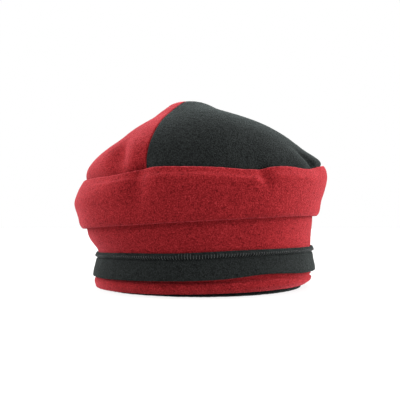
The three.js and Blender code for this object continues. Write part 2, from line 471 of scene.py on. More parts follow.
def spline_rows(knots: np.ndarray, steps: list[int]) -> np.ndarray:
    """Runs a centripetal Catmull-Rom curve through each column of knots.

    Args:
        knots: array of points, one row for each section.
        steps: number of steps in each span between two sections.

    Returns:
        Array of points, with one row for each step and the last knot.
    """
    before, after = 2 * knots[:1] - knots[1:2], 2 * knots[-1:] - knots[-2:-1]
    chain = np.concatenate([before, knots, after])
    gaps = np.sqrt(np.linalg.norm(np.diff(chain, axis=0), axis=-1, keepdims=True))
    gaps = np.maximum(gaps, LEAST_GAP)
    rows = []
    for i, count in enumerate(steps):
        p0, p1, p2, p3 = chain[i : i + 4]
        d0, d1, d2 = gaps[i : i + 3]
        leaving = ((p1 - p0) / d0 - (p2 - p0) / (d0 + d1) + (p2 - p1) / d1) * d1
        arriving = ((p2 - p1) / d1 - (p3 - p1) / (d1 + d2) + (p3 - p2) / d2) * d1
        for u in np.arange(count) / count:
            bend = (-3 * p1 + 3 * p2 - 2 * leaving - arriving) * u**2
            twist = (2 * p1 - 2 * p2 + leaving + arriving) * u**3
            rows.append(p1 + leaving * u + bend + twist)
    return np.array([*rows, knots[-1]])


@dataclass
class Sheet:
    """The right side of a piece of cloth as a grid of points.

    Attributes:
        points: rows run along the cloth, columns round the hat.
        thick: thickness of the cloth at each row.
        closed: whether the columns go all the way round.
        section_rows: the row at which each section lies.
    """

    points: np.ndarray
    thick: np.ndarray
    closed: bool
    section_rows: np.ndarray

    def normals(self) -> np.ndarray:
        """Finds the direction that the right side faces at each point.

        Returns:
            Array of unit vectors.
        """
        along = np.gradient(self.points, axis=0)
        if self.closed:
            round_hat = np.roll(self.points, -1, axis=1) - np.roll(self.points, 1, axis=1)
        else:
            round_hat = np.gradient(self.points, axis=1)
        normal = np.cross(round_hat, along)
        length = np.linalg.norm(normal, axis=-1, keepdims=True)
        return np.where(length > TINY, unit(normal), UPWARDS)

    def steps_round(self) -> np.ndarray:
        """Measures the distance from each point to the next one round the hat.

        Returns:
            Array of distances, which in an open sheet leaves out the last column.
        """
        shifted = np.roll(self.points, -1, axis=1) - self.points
        lengths = np.linalg.norm(shifted, axis=-1)
        return lengths if self.closed else lengths[:, :-1]

    def flat_cut(self) -> tuple[float, float, float]:
        """Measures the cloth as it was cut.

        Returns:
            Greatest girth and mean length in metres, and area in square metres.
        """
        rows = np.linalg.norm(np.diff(self.points, axis=0), axis=-1)
        girths = self.steps_round()
        area = (girths[1:] + girths[:-1]).sum(axis=1) / 2 @ rows.mean(axis=1)
        girth = girths.sum(axis=1).max()
        return girth * MM, rows.mean(axis=1).sum() * MM, area * MM * MM

    def from_side_edges(self) -> np.ndarray:
        """Measures how far each point of an open sheet lies from its nearer side edge.

        Returns:
            Array of distances.
        """
        reached = np.cumsum(self.steps_round(), axis=1)
        reached = np.concatenate([np.zeros((len(reached), 1)), reached], axis=1)
        return np.minimum(reached, reached[:, -1:] - reached)


@dataclass
class ClothWall:
    """A piece of cloth in the hat, built as a closed wall.

    Attributes:
        name: name of the piece, and of the solid that it stands for.
        cloth: fleece that it is cut from.
        hold: how it is held; not used.
        rests_on: names of what it is sewn to or stands on; not used.
        columns: number of points round the hat.
        spacing: distance between points along the cloth.
        rim_steps: number of points that round off a free edge.
        rim_bulge: roundness of a free edge, from 0 for a flat one to 1.
        nap_depth: depth of the hollows in the nap.
        form: folds and waviness that it shares with the other pieces.
        creases: sharp folds of its own.
        tufts, pile: noise of the nap's tufts, and its finer noise.
        tuft_share, pile_share: how much each of them adds to the height of the nap.
        closed: whether it goes all the way round the hat.
    """

    name: str
    cloth: Cloth
    hold: Hold
    rests_on: tuple[str, ...]
    columns: int = 600
    spacing: float = 1.15
    rim_steps: int = 5
    rim_bulge: float = 1.0
    nap_depth: float = 0.22
    form: SoftForm = SoftForm()
    creases: tuple[Fold, ...] = ()
    tufts: Grain = Grain(2.6, 3)
    pile: Grain = Grain(1.6, 7)
    tuft_share: float = 0.42
    pile_share: float = 0.34
    closed: bool = True

    def sections(self) -> list[Section]:
        """Lists the rings of the piece, along the cloth."""
        raise NotImplementedError

    def angles_of(self, section: Section) -> np.ndarray:
        """Spreads the columns evenly round a section."""
        return np.linspace(0, FULL_TURN, self.columns, endpoint=False)

    def knots(self) -> np.ndarray:
        """Places the points that the cloth runs through, one row for each section."""
        return np.array([section.points(self.angles_of(section)) for section in self.sections()])

    def sheet(self) -> Sheet:
        """Shapes the right side of the cloth.

        Returns:
            The sheet, with its folds.
        """
        knots = self.knots()
        spans = np.linalg.norm(np.diff(knots, axis=0), axis=-1).mean(axis=1)
        steps = [max(LEAST_STEPS, round(span / self.spacing)) for span in spans]
        section_rows = np.cumsum([0, *steps])
        thick = [section.thick for section in self.sections()]
        thick += [FLEECE] * (len(knots) - len(thick))
        row_thick = np.interp(np.arange(section_rows[-1] + 1), section_rows, thick)
        points = self.form.press(spline_rows(knots, steps))
        creased = SoftForm(folds=self.creases, wave=0.0).press(points)
        points = points + (creased - points) * self.looseness(section_rows)[:, None, None]
        return Sheet(points, row_thick, self.closed, section_rows)

    def looseness(self, section_rows: np.ndarray) -> np.ndarray:
        """Says how freely each row creases; a plain piece creases all over."""
        return np.ones(section_rows[-1] + 1)

    def above(self, section_rows: np.ndarray, section: int) -> np.ndarray:
        """Measures how far past a section each row lies, along the cloth."""
        return (np.arange(section_rows[-1] + 1) - section_rows[section]) * self.spacing

    def shaped(self, sheet: Sheet) -> np.ndarray:
        """Moves the right side where the piece is sewn; a plain piece keeps its sheet."""
        return sheet.points

    def nap(self, points: np.ndarray) -> np.ndarray:
        """Reads the height of the nap at points, from 0 in a hollow to 1 on a tuft."""
        height = PLAIN_NAP + self.tuft_share * self.tufts.at(points)
        return np.clip(height + self.pile_share * self.pile.at(points), 0, 1)

    def rim(self, right: np.ndarray, wrong: np.ndarray, outwards: np.ndarray) -> np.ndarray:
        """Rounds off a free edge between the two sides of the cloth.

        Args:
            right: points of the edge on the right side.
            wrong: points of the edge on the wrong side.
            outwards: unit vectors that point out of the cloth along it.

        Returns:
            Rows of points from the right side to the wrong side, without those two.
        """
        middle, half = (right + wrong) / 2, (right - wrong) / 2
        bulge = self.rim_bulge * outwards * np.linalg.norm(half, axis=-1, keepdims=True)
        turns = np.linspace(0, math.pi, self.rim_steps + 2)[1:-1]
        return np.array([middle + half * math.cos(t) + bulge * math.sin(t) for t in turns])

    def mesh(self) -> bpy.types.Mesh:
        """Builds the wall: its right side, its wrong side and the edges between them.

        Returns:
            The mesh, in metres, with the height of the nap as an attribute.
        """
        sheet = self.sheet()
        normals = sheet.normals()
        right = self.shaped(sheet)
        wrong = sheet.points - normals * sheet.thick[:, None, None]
        height = self.nap(right)
        right = right - normals * (self.nap_depth * (1 - height))[..., None]
        along = unit(np.gradient(sheet.points, axis=0))
        first = self.rim(right[0], wrong[0], -along[0])[::-1]
        last = self.rim(right[-1], wrong[-1], along[-1]) if sheet.closed else right[:0]
        loop = np.concatenate([right, last, wrong[::-1], first])
        loop[..., 2] = np.maximum(loop[..., 2], STANDING_LEVEL)
        heights = np.full(loop.shape[:2], PLAIN_NAP)
        heights[: len(right)] = height
        faces = grid_faces(len(loop), loop.shape[1], looped=True, closed=sheet.closed)
        if not sheet.closed:
            faces += side_faces(len(loop), loop.shape[1], len(right))
        return joined_mesh(self.name, loop.reshape(-1, 3), faces, heights.ravel())

    def build(self, material: bpy.types.Material) -> bpy.types.Object:
        """Makes the piece, and tells what it rides on and which solid it stands for.

        Args:
            material: finish of its fleece.

        Returns:
            The piece.
        """
        piece = add_object(f"{self.name}_cloth", self.mesh())
        piece.data.materials.append(material)
        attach(piece, BODY)
        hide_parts(self.name)
        return piece

    def declare(self, piece: bpy.types.Object, with_pieces: list[bpy.types.Object]) -> None:
        """Args:
            piece: the built piece; not used.
            with_pieces: separate pieces on it; not used.
        """
        girth, length, area = self.sheet().flat_cut()


def grid_faces(rows: int, columns: int, looped: bool, closed: bool) -> Faces:
    """Lists the faces of a grid of points.

    Args:
        rows: number of rows.
        columns: number of points in a row.
        looped: whether the last row joins the first.
        closed: whether the last point of a row joins its first.

    Returns:
        Faces, as lists of point numbers.
    """
    row = np.arange(rows if looped else rows - 1)[:, None]
    column = np.arange(columns if closed else columns - 1)[None, :]
    next_row, next_column = (row + 1) % rows, (column + 1) % columns
    corners = [
        row * columns + column,
        row * columns + next_column,
        next_row * columns + next_column,
        next_row * columns + column,
    ]
    return np.stack(corners, axis=-1).reshape(-1, 4).tolist()


def side_faces(rows: int, columns: int, right_rows: int) -> Faces:
    """Lists the faces that close the two open sides of a loop of rows.

    Args:
        rows: number of rows in the loop.
        columns: number of points in a row.
        right_rows: number of rows on the right side; the wrong side comes back from there.

    Returns:
        Faces, as lists of point numbers.
    """
    faces = []
    for i in range(right_rows - 1):
        opposite = 2 * right_rows - 1 - i
        start = [row * columns for row in (i, i + 1, opposite - 1, opposite)]
        faces.append(start)
        faces.append([corner + columns - 1 for corner in reversed(start)])
    bottom = [0, *(row * columns for row in range(rows - 1, 2 * right_rows - 2, -1))]
    faces.append(bottom[::-1])
    faces.append([corner + columns - 1 for corner in bottom])
    return faces


def joined_mesh(name: str, points: np.ndarray, faces: Faces, heights: np.ndarray) -> bpy.types.Mesh:
    """Makes a smooth mesh and merges the points that fall together.

    Args:
        name: name of the mesh.
        points: its points, in millimetres.
        faces: its faces, as lists of point numbers.
        heights: height of the nap at each point.

    Returns:
        The mesh, in metres.
    """
    mesh = bpy.data.meshes.new(name)
    mesh.from_pydata((points * MM).tolist(), [], faces)
    attribute = mesh.attributes.new(NAP, "FLOAT", "POINT")
    attribute.data.foreach_set("value", heights.astype(np.float32))
    work = bmesh.new()
    work.from_mesh(mesh)
    bmesh.ops.remove_doubles(work, verts=work.verts, dist=MERGE_DISTANCE)
    bmesh.ops.recalc_face_normals(work, faces=work.faces)
    work.to_mesh(mesh)
    work.free()
    mesh.shade_smooth()
    return mesh


@dataclass
class LowerSide(ClothWall):
    """The red lower side, which runs behind the sash and ends in a thick rolled hem.

    Attributes:
        foot, roll, hem, tucked: the rolled hem, up to the sash.
        pinch, waist, swell: the cloth from the stitches of the sash up.
        tuck, top: the cloth behind the fold of the upper side.
        tuck_depth: depth that it is drawn in by at the front and the back, below that fold.
        tuck_width: width of the cloth that is drawn in there.
        hem_depth: depth that the stitches above the rolled hem draw it in by.
        hem_width: width of the cloth that is drawn in there.
        hem_drop: how much lower those stitches run at the right.
    """

    name: str = "lower_side"
    cloth: Cloth = Cloth.RED
    hold: Hold = Hold.STRETCHED
    rests_on: tuple[str, ...] = ("lining",)
    columns: int = 450
    spacing: float = 0.7
    rim_bulge: float = 0.8
    foot: Section = Section(-92.2, 92.6, -91.8, 91.8, 0.4, 3.4, 2.4, 2.2, 2.4)
    roll: Section = Section(-93.4, 96.9, -94.8, 95.0, 5.0, 7.0, 6.4, 6.0, 4.2)
    hem: Section = Section(-92.2, 96.8, -93.1, 93.3, 10.0, 12.5, 11.5, 11.0, 3.2)
    tucked: Section = Section(-90.8, 95.4, -92.6, 92.8, 17.0, 19.0, 18.0, 17.5, 2.4)
    pinch: Section = Section(-89.9, 96.4, -92.3, 92.5, 24.6, 30.0, 28.7, 28.0)
    waist: Section = Section(-91.3, 97.0, -93.4, 93.6, 31.0, 36.0, 36.0, 34.5)
    swell: Section = Section(-97.8, 97.2, -95.6, 95.8, 40.0, 46.0, 44.5, 44.0)
    tuck: Section = Section(-100.4, 98.0, -97.8, 97.8, 47.5, 58.0, 54.5, 54.0)
    top: Section = Section(-100.6, 98.2, -98.4, 98.4, 58.0, 68.0, 64.5, 64.0)
    tuck_depth: float = 1.4
    tuck_width: float = 2.2
    hem_depth: float = 2.2
    hem_width: float = 0.9
    hem_drop: float = 2.2

    def sections(self) -> list[Section]:
        """Lists the rings from the foot of the hem up."""
        hem = [self.foot, self.roll, self.hem, self.tucked]
        return [*hem, self.pinch, self.waist, self.swell, self.tuck, self.top]

    def shaped(self, sheet: Sheet) -> np.ndarray:
        """Draws the cloth in above the rolled hem, and below the fold of the upper side.

        Args:
            sheet: plain right side of the lower side.

        Returns:
            The moved points.
        """
        angles = self.angles_of(self.tuck)
        tucked = self.tuck_depth * groove(self.above(sheet.section_rows, TUCK_SECTION), self.tuck_width)
        lowered = self.hem_drop * np.maximum(np.cos(angles), 0)
        above_stitches = self.above(sheet.section_rows, HEM_SECTION)[:, None] + lowered
        sewn = self.hem_depth * groove(above_stitches, self.hem_width)
        drawn = tucked[:, None] * np.sin(angles) ** 2 + sewn
        return sheet.points - sheet.normals() * drawn[..., None]


@dataclass
class Lining(ClothWall):
    """The black lining inside the rim, whose edge is turned out under the hem.

    Attributes:
        top, wall: the lining inside, from its top edge down.
        turn, lip, edge: its lower edge, turned out under the hem.
    """

    name: str = "lining"
    cloth: Cloth = Cloth.BLACK
    hold: Hold = Hold.FOLDED
    rests_on: tuple[str, ...] = ("lower_side",)
    columns: int = 480
    nap_depth: float = 0.2
    top: Section = Section(-85.2, 90.2, -87.8, 88.0, 21.5, 26.5, 26.0, 25.0, LINING_CLOTH)
    wall: Section = Section(-85.8, 89.4, -87.8, 88.0, 10.0, 10.0, 10.0, 10.0, LINING_CLOTH)
    turn: Section = Section(-86.6, 84.4, -86.8, 87.0, 3.0, 3.0, 3.0, 3.0, LINING_CLOTH)
    lip: Section = Section(-86.4, 84.3, -86.4, 86.6, 0.0, 0.0, 0.0, 0.0, LIP_CLOTH)
    edge: Section = Section(-88.7, 87.4, -90.2, 89.4, 0.0, 0.0, 0.0, 0.0, LIP_CLOTH)

    def sections(self) -> list[Section]:
        """Lists the rings from the top edge down and out under the hem."""
        return [self.top, self.wall, self.turn, self.lip, self.edge]


@dataclass
class Sash(ClothWall):
    """The black sash round the lower side, stitched near its top, with a free flared lower edge.

    Attributes:
        sewn_to: ring of the lower side that it is stitched to.
        hem, skirt, middle: the sash from its free edge up to the stitches.
        ridge_height: height of the narrow ridge above the stitches.
        ridge_spread: how far the ridge leans out.
        ridge_bulge: how far the middle of the ridge rounds out.
        ridge_taper: how far the ridge rounds back at its top.
        groove_depth: depth that the stitches draw the cloth in by.
        groove_width: width of the cloth that they draw in.
    """

    name: str = "sash"
    cloth: Cloth = Cloth.BLACK
    hold: Hold = Hold.STRETCHED
    rests_on: tuple[str, ...] = ("lower_side",)
    columns: int = 560
    spacing: float = 0.9
    sewn_to: Section = LowerSide.pinch
    hem: Section = Section(-94.9, 100.6, -97.2, 97.2, 9.8, 15.0, 13.2, 11.0, 1.5)
    skirt: Section = Section(-94.7, 100.5, -97.0, 97.0, 12.8, 17.8, 15.8, 14.0, SASH_CLOTH)
    middle: Section = Section(-93.6, 99.6, -96.0, 96.0, 18.2, 23.0, 21.0, 20.0, SASH_CLOTH)
    ridge_height: float = 3.6
    ridge_spread: float = 1.3
    ridge_bulge: float = 0.8
    ridge_taper: float = 1.4
    groove_depth: float = 1.3
    groove_width: float = 0.8

    def sections(self) -> list[Section]:
        """Lists the rings from the free lower edge up to the ridge.

        Returns:
            The sections.
        """
        pinch = replace(self.sewn_to.grown(SEAM_GAP + SASH_CLOTH), thick=SASH_CLOTH)
        leaning = pinch.grown(self.ridge_spread / 3, self.ridge_height / 2)
        ridge = pinch.grown(self.ridge_spread, self.ridge_height)
        return [self.hem, self.skirt, self.middle, pinch, leaning, ridge]

    def shaped(self, sheet: Sheet) -> np.ndarray:
        """Draws the stitched line in and rounds the ridge above it.

        Args:
            sheet: plain right side of the sash.

        Returns:
            The moved points.
        """
        above = self.above(sheet.section_rows, STITCHED_SECTION)
        share = np.clip(above / above[-1], 0, 1)
        bead = self.ridge_bulge * np.sin(math.pi * share) - self.ridge_taper * share**3
        out = bead - self.groove_depth * groove(above, self.groove_width)
        return sheet.points + sheet.normals() * out[:, None, None]


@dataclass
class OverlockEdge:
    """The threads that bind the ridge of the sash, one short loop beside the other.

    Attributes:
        name: name of the piece.
        every: number of the sash's columns from one loop to the next.
        reach: shares of the ridge's height that the shortest and the longest loop cover.
        radius: half the thickness of the thinnest and the thickest loop.
        sunk: depth that the thread's middle lies in the nap.
        sides: number of sides of the thread's section.
        unevenness: noise that makes one loop longer than another.
        tension: noise that makes one loop thicker than another.
        tension_span: value of that noise at which a loop is thickest.
    """

    name: str = "sash_overlock"
    every: int = 2
    reach: tuple[float, float] = (0.6, 0.95)
    radius: tuple[float, float] = (0.11, 0.27)
    sunk: float = 0.09
    sides: int = 6
    unevenness: Grain = Grain(12.0, 19)
    tension: Grain = Grain(4.5, 23)
    tension_span: float = 0.6

    def build(self, sash: Sash, material: bpy.types.Material) -> bpy.types.Object:
        """Binds the ridge with threads.

        Args:
            sash: sash whose ridge is bound.
            material: finish of the thread.

        Returns:
            The piece, with all its loops joined.
        """
        sheet = sash.sheet()
        normals = sheet.normals()
        surface = sash.shaped(sheet) - normals * self.sunk
        stitched, top = sheet.section_rows[STITCHED_SECTION], sheet.section_rows[-1]
        reaches = self.unevenness.between(surface[stitched], self.reach)
        radii = self.tension.between(surface[stitched], self.radius, self.tension_span)
        points, faces = [], []
        for column in range(0, sash.columns, self.every):
            steps = max(LEAST_STEPS, round((top - stitched) * reaches[column]))
            rows = np.arange(stitched, stitched + steps + 1)
            tube, tube_faces = self.tube(surface[rows, column], normals[rows, column], radii[column])
            offset = sum(len(part) for part in points)
            points.append(tube)
            faces += [[corner + offset for corner in face] for face in tube_faces]
        stacked = np.concatenate(points)
        mesh = joined_mesh(self.name, stacked, faces, np.full(len(stacked), PLAIN_NAP))
        piece = add_object(self.name, mesh)
        piece.data.materials.append(material)
        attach(piece, BODY)
        return piece

    def tube(self, path: np.ndarray, out: np.ndarray, radius: float) -> tuple[np.ndarray, Faces]:
        """Builds one thread along a path.

        Args:
            path: points of the thread's middle.
            out: unit vectors away from the cloth.
            radius: half the thickness of the thread.

        Returns:
            Points of the thread, and its faces.
        """
        along = unit(np.gradient(path, axis=0))
        aside = np.cross(along, out)
        turns = np.linspace(0, FULL_TURN, self.sides, endpoint=False)
        rings = [path + radius * (out * math.cos(t) + aside * math.sin(t)) for t in turns]
        faces = grid_faces(len(path), self.sides, looped=False, closed=True)
        start = list(range(self.sides))
        end = [(len(path) - 1) * self.sides + corner for corner in start]
        return np.stack(rings, axis=1).reshape(-1, 3), [*faces, start[::-1], end]


@dataclass
class CrownHalf(ClothWall):
    """Half of the crown, sewn to the other half along a seam over the peak.

    Attributes:
        half: side of the seam.
        seam: the seam.
        seam_roll: width of the edge that rolls down into the seam.
        seam_depth: depth of the rolled edge.
        sewn_width: width of the cloth that is drawn in where the upper side is sewn on.
        sewn_depth: depth that it is drawn in by.
        sewn_stiff: width of the cloth above the upper side that hardly creases.
        crowding: how much closer together the columns stand at the seam, from 0 to 1.
        crease, shoulder, low, middle, high, neck, knob: the half, from its sewn edge up to the peak.
    """

    hold: Hold = Hold.STRETCHED
    rests_on: tuple[str, ...] = ("upper_side",)
    columns: int = 330
    closed: bool = False
    half: Half = Half.LEFT
    seam: CrownSeam = CrownSeam()
    seam_roll: float = 2.0
    seam_depth: float = 1.0
    sewn_width: float = 2.8
    sewn_depth: float = 1.3
    sewn_stiff: float = 6.0
    crowding: float = 0.5
    creases: tuple[Fold, ...] = (
        Fold(59.5, -0.8, 2.2, 103, 5.5, 3.4, 0),
        Fold(-41, -0.27, 3.2, 104, 8, 3.0, 0),
    )
    crease: Section = Section(-101.9, 105.8, -100.6, 100.8, 85.6, 100.3, 92.0, 96.0)
    shoulder: Section = Section(-100.6, 106.0, -97.6, 98.2, 99.0, 106.5, 103.0, 105.0)
    low: Section = Section(-89.0, 94.6, -92.4, 92.4, 114.0, 115.0, 115.0, 115.0)
    middle: Section = Section(-69.5, 75.6, -80.5, 79.0, 128.0, 128.0, 128.5, 128.5)
    high: Section = Section(-49.8, 50.5, -60.5, 58.5, 142.0, 142.0, 142.0, 142.0)
    neck: Section = Section(-35.8, 21.2, -37.0, 35.0, 153.0, 152.5, 153.2, 153.0)
    knob: Section = Section(-26.8, 7.2, -20.0, 18.0, 160.0, 159.8, 160.4, 160.0)

    def sections(self) -> list[Section]:
        """Lists the rings from the sewn edge behind the upper side up to the peak.

        Returns:
            The sections.
        """
        hidden = self.crease.grown(0, -SEAM_ALLOWANCE)
        slope = [self.shoulder, self.low, self.middle, self.high]
        return [hidden, self.crease, *slope, self.neck, self.knob]

    def angles_of(self, section: Section) -> np.ndarray:
        """Spreads the columns from seam to seam, closer together at the seam.

        Args:
            section: ring that they lie on.

        Returns:
            Array of angles, in radians.
        """
        first, last = self.seam.span(section, self.half)
        even = np.linspace(0, 1, self.columns)
        return first + (last - first) * (even - self.crowding * np.sin(FULL_TURN * even) / FULL_TURN)

    def knots(self) -> np.ndarray:
        """Places the points of the sections, and the peak after them."""
        rings = super().knots()
        return np.concatenate([rings, np.broadcast_to(self.seam.tip(self.half), rings[:1].shape)])

    def looseness(self, section_rows: np.ndarray) -> np.ndarray:
        """Says how freely each row creases, from 0 where the half is sewn to the upper side to 1."""
        return eased(self.above(section_rows, SEWN_SECTION), self.sewn_stiff)

    def shaped(self, sheet: Sheet) -> np.ndarray:
        """Rolls the edge down into the seam and draws the cloth in above the upper side.

        Args:
            sheet: plain right side of the half.

        Returns:
            The moved points.
        """
        share = np.clip(sheet.from_side_edges() / self.seam_roll, 0, 1)
        rolled = self.seam_depth * (1 - np.sqrt(1 - (1 - share) ** 2))
        above = self.above(sheet.section_rows, SEWN_SECTION) - self.sewn_width
        drawn = self.sewn_depth * groove(above, self.sewn_width)
        return sheet.points - sheet.normals() * np.maximum(rolled, drawn[:, None])[..., None]


@dataclass
class UpperSide(ClothWall):
    """The red upper side, folded under at the bottom and folded over at the top, where the crown starts.

    Attributes:
        sewn_below, sewn_above: the edges of the lower side and the crown that it is sewn to.
        fold, low, widest, high: the outside, from the lower fold up.
        fold_width: width of the lower fold, from the flap behind it to the outside.
        lip_width, lip_drop: how far outside and below the crown's edge the rolled lip starts.
        lip_crest, lip_rise: how far outside and above that edge the crest of the lip stands.
        turned_below: how far its sewn edge at the crown passes below the crown's edge.
        turned_in: how far that edge is turned in under the crown's edge.
    """

    name: str = "upper_side"
    cloth: Cloth = Cloth.RED
    hold: Hold = Hold.FOLDED
    rests_on: tuple[str, ...] = ("lower_side",)
    columns: int = 640
    sewn_below: Section = LowerSide.top
    sewn_above: Section = CrownHalf.crease
    fold: Section = Section(-103.4, 101.0, -101.2, 101.2, 49.0, 60.2, 55.0, 55.0)
    low: Section = Section(-108.3, 105.6, -106.5, 106.5, 60.0, 72.0, 67.0, 67.0)
    widest: Section = Section(-111.2, 109.6, -108.4, 108.4, 70.5, 84.0, 79.0, 79.0)
    high: Section = Section(-107.8, 111.2, -108.0, 108.0, 81.0, 93.0, 87.0, 88.0)
    fold_width: float = 5.0
    lip_width: float = 4.2
    lip_drop: float = 1.5
    lip_crest: float = 1.5
    lip_rise: float = 2.5
    turned_below: float = 1.8
    turned_in: float = 3.4

    def sections(self) -> list[Section]:
        """Lists the rings from the flap behind the lower fold, up the outside, to the crown's edge.

        Returns:
            The sections.
        """
        flap = self.sewn_below.grown(SEAM_GAP)
        lip = self.sewn_above.grown(SEAM_GAP)
        turn = self.fold_width / 2
        under = [flap, flap.at_height_of(self.fold, turn), self.fold]
        rising = flap.grown(self.fold_width).at_height_of(self.fold, turn)
        outside = [rising, self.low, self.widest, self.high]
        rolled = [lip.grown(self.lip_width, -self.lip_drop), lip.grown(self.lip_crest, self.lip_rise), lip]
        sewn = lip.grown(0, -SEAM_ALLOWANCE - self.turned_below)
        turned = sewn.grown(-self.turned_in, -self.turned_below / 2)
        return [*under, *outside, *rolled, sewn, turned]


@dataclass(frozen=True)
class Speckle:
    """A noise in a finish.

    Attributes:
        rate: number of specks in a metre.
        detail: number of finer noises in it.
        roughness: strength of each finer noise beside the one before.
    """

    rate: float
    detail: float
    roughness: float = 0.5


class Nodes:
    """A material's nodes, built one by one and linked by their sockets."""

    def __init__(self, name: str) -> None:
        """Starts an empty material.

        Args:
            name: name of the material.
        """
        self.material = bpy.data.materials.new(name)
        self.material.use_nodes = True
        self.tree = self.material.node_tree
        self.tree.nodes.clear()

    def add(self, kind: str, inputs: dict[str | int, object], **settings: object) -> bpy.types.Node:
        """Adds a node.

        Args:
            kind: type of the node.
            inputs: values or sockets for its inputs, by name or number.
            settings: its own settings.

        Returns:
            The node.
        """
        node = self.tree.nodes.new(kind)
        for key, value in settings.items():
            setattr(node, key, value)
        for key, value in inputs.items():
            if isinstance(value, bpy.types.NodeSocket):
                self.tree.links.new(value, node.inputs[key])
            else:
                node.inputs[key].default_value = value
        return node

    def math(self, operation: str, first: object, second: object) -> bpy.types.NodeSocket:
        """Works out two values, such as their sum.

        Args:
            operation: name of the operation.
            first: value or socket.
            second: value or socket.

        Returns:
            The result's socket.
        """
        node = self.add("ShaderNodeMath", {0: first, 1: second}, operation=operation)
        return node.outputs[0]

    def plus_share(self, base: object, value: object, share: float) -> bpy.types.NodeSocket:
        """Adds a share of one value to another."""
        return self.math("ADD", base, self.math("MULTIPLY", value, share))

    def noise(self, place: bpy.types.NodeSocket, speckle: Speckle) -> bpy.types.Node:
        """Adds a noise that is read at a place."""
        fineness = {"Scale": speckle.rate, "Detail": speckle.detail, "Roughness": speckle.roughness}
        return self.add("ShaderNodeTexNoise", {"Vector": place, **fineness})

    def ramp(
        self, tone: bpy.types.NodeSocket, tones: tuple[float, ...], colours: tuple[Colour, ...]
    ) -> bpy.types.NodeSocket:
        """Turns a tone into a colour.

        Args:
            tone: socket of the tone, from 0 to 1.
            tones: tones that have a colour of their own, from the least up.
            colours: their colours.

        Returns:
            The colour's socket.
        """
        node = self.add("ShaderNodeValToRGB", {"Fac": tone})
        elements = node.color_ramp.elements
        while len(elements) < len(tones):
            elements.new(0.5)
        for element, place, colour in zip(elements, tones, colours):
            element.position = place
            element.color = (*colour, 1.0)
        return node.outputs["Color"]

    def finished(self, inputs: dict[str | int, object]) -> bpy.types.Material:
        """Ends the material with its shader.

        Args:
            inputs: values or sockets for the shader's inputs, by name.

        Returns:
            The material.
        """
        shader = self.add("ShaderNodeBsdfPrincipled", inputs)
        self.add("ShaderNodeOutputMaterial", {"Surface": shader.outputs[0]})
        return self.material


@dataclass(frozen=True)
class FleeceFinish:
    """A matt fleece with a short pilled nap.

    Attributes:
        name: name of the material.
        deep: colour in the hollows of the nap, darkened as painted shade.
        body: colour of most of the nap.
        bright: colour of the tips of the tufts, lightened as a painted highlight.
        fleck: colour of the few fibres that catch the light.
        sheen: colour of the loose fibres at a glancing view.
        sheen_weight: strength of those fibres.
        sheen_spread: how far in from the outline they show.
        gloss: strength of the plain reflection.
        tufts: number of tufts in a metre.
        tuft_blur: how softly one tuft meets the next.
        wander: noise that strews the tufts unevenly.
        wander_reach: how far it moves them, in metres.
        fibres: noise of the fine fibres.
        fibre_share: share of the fibres in the fine nap, beside the tufts.
        patches: noise of the lighter and darker patches.
        patch_share: how much the patches change the tone.
        nap_share: how much the modelled nap paints shade into its hollows and light onto its tufts.
        tones: tones that have the deep, the body, the bright and the fleck colour.
        tip_polish: how much less matt the tips of the nap are.
        relief: depth of the fine nap, in metres.
        relief_strength: how strongly that relief catches the light.
    """

    name: str
    deep: Colour
    body: Colour
    bright: Colour
    fleck: Colour
    sheen: Colour
    sheen_weight: float
    sheen_spread: float
    gloss: float
    tufts: float = 1050.0
    tuft_blur: float = 0.6
    wander: Speckle = Speckle(735.0, 2.0)
    wander_reach: float = 0.0012
    fibres: Speckle = Speckle(1995.0, 5.0, 0.7)
    fibre_share: float = 0.5
    patches: Speckle = Speckle(34.0, 3.0, 0.55)
    patch_share: float = 0.1
    nap_share: float = 0.08
    tones: tuple[float, float, float, float] = (0.38, 0.58, 0.76, 0.88)
    tip_polish: float = 0.12
    relief: float = 0.0007
    relief_strength: float = 0.75

    def material(self) -> bpy.types.Material:
        """Builds the finish.

        Returns:
            The material.
        """
        nodes = Nodes(self.name)
        place = nodes.add("ShaderNodeTexCoord", {}).outputs["Object"]
        relief = self.fine_nap(nodes, place)
        height = nodes.add("ShaderNodeAttribute", {}, attribute_name=NAP).outputs["Fac"]
        patches = nodes.noise(place, self.patches).outputs["Fac"]
        # The tone is partly random patches and speckle, and partly painted shade: low nap darker, high nap
        # lighter.
        tone = nodes.plus_share(relief, height, self.nap_share)
        tone = nodes.plus_share(tone, patches, self.patch_share)
        colours = (self.deep, self.body, self.bright, self.fleck)
        bump = {"Height": relief, "Strength": self.relief_strength, "Distance": self.relief}
        return nodes.finished(
            {
                "Base Color": nodes.ramp(tone, self.tones, colours),
                "Roughness": nodes.plus_share(1.0, relief, -self.tip_polish),
                "Normal": nodes.add("ShaderNodeBump", bump).outputs[0],
                "Specular IOR Level": self.gloss,
                "Sheen Weight": self.sheen_weight,
                "Sheen Roughness": self.sheen_spread,
                "Sheen Tint": (*self.sheen, 1.0),
            }
        )

    def fine_nap(self, nodes: Nodes, place: bpy.types.NodeSocket) -> bpy.types.NodeSocket:
        """Builds the height of the tufts and the fibres.

        Args:
            nodes: nodes of the material.
            place: socket of the place on the cloth.

        Returns:
            The height's socket.
        """
        wander = nodes.noise(place, self.wander).outputs["Color"]
        drift = nodes.add("ShaderNodeVectorMath", {0: wander, "Scale": self.wander_reach}, operation="SCALE")
        moved = nodes.add("ShaderNodeVectorMath", {0: place, 1: drift.outputs[0]}, operation="ADD")
        spread = {"Vector": moved.outputs[0], "Scale": self.tufts, "Smoothness": self.tuft_blur}
        cells = nodes.add("ShaderNodeTexVoronoi", spread, feature="SMOOTH_F1")
        tuft = nodes.math("SUBTRACT", 1.0, cells.outputs["Distance"])
        tuft = nodes.math("MULTIPLY", tuft, 1 - self.fibre_share)
        return nodes.plus_share(tuft, nodes.noise(place, self.fibres).outputs["Fac"], self.fibre_share)


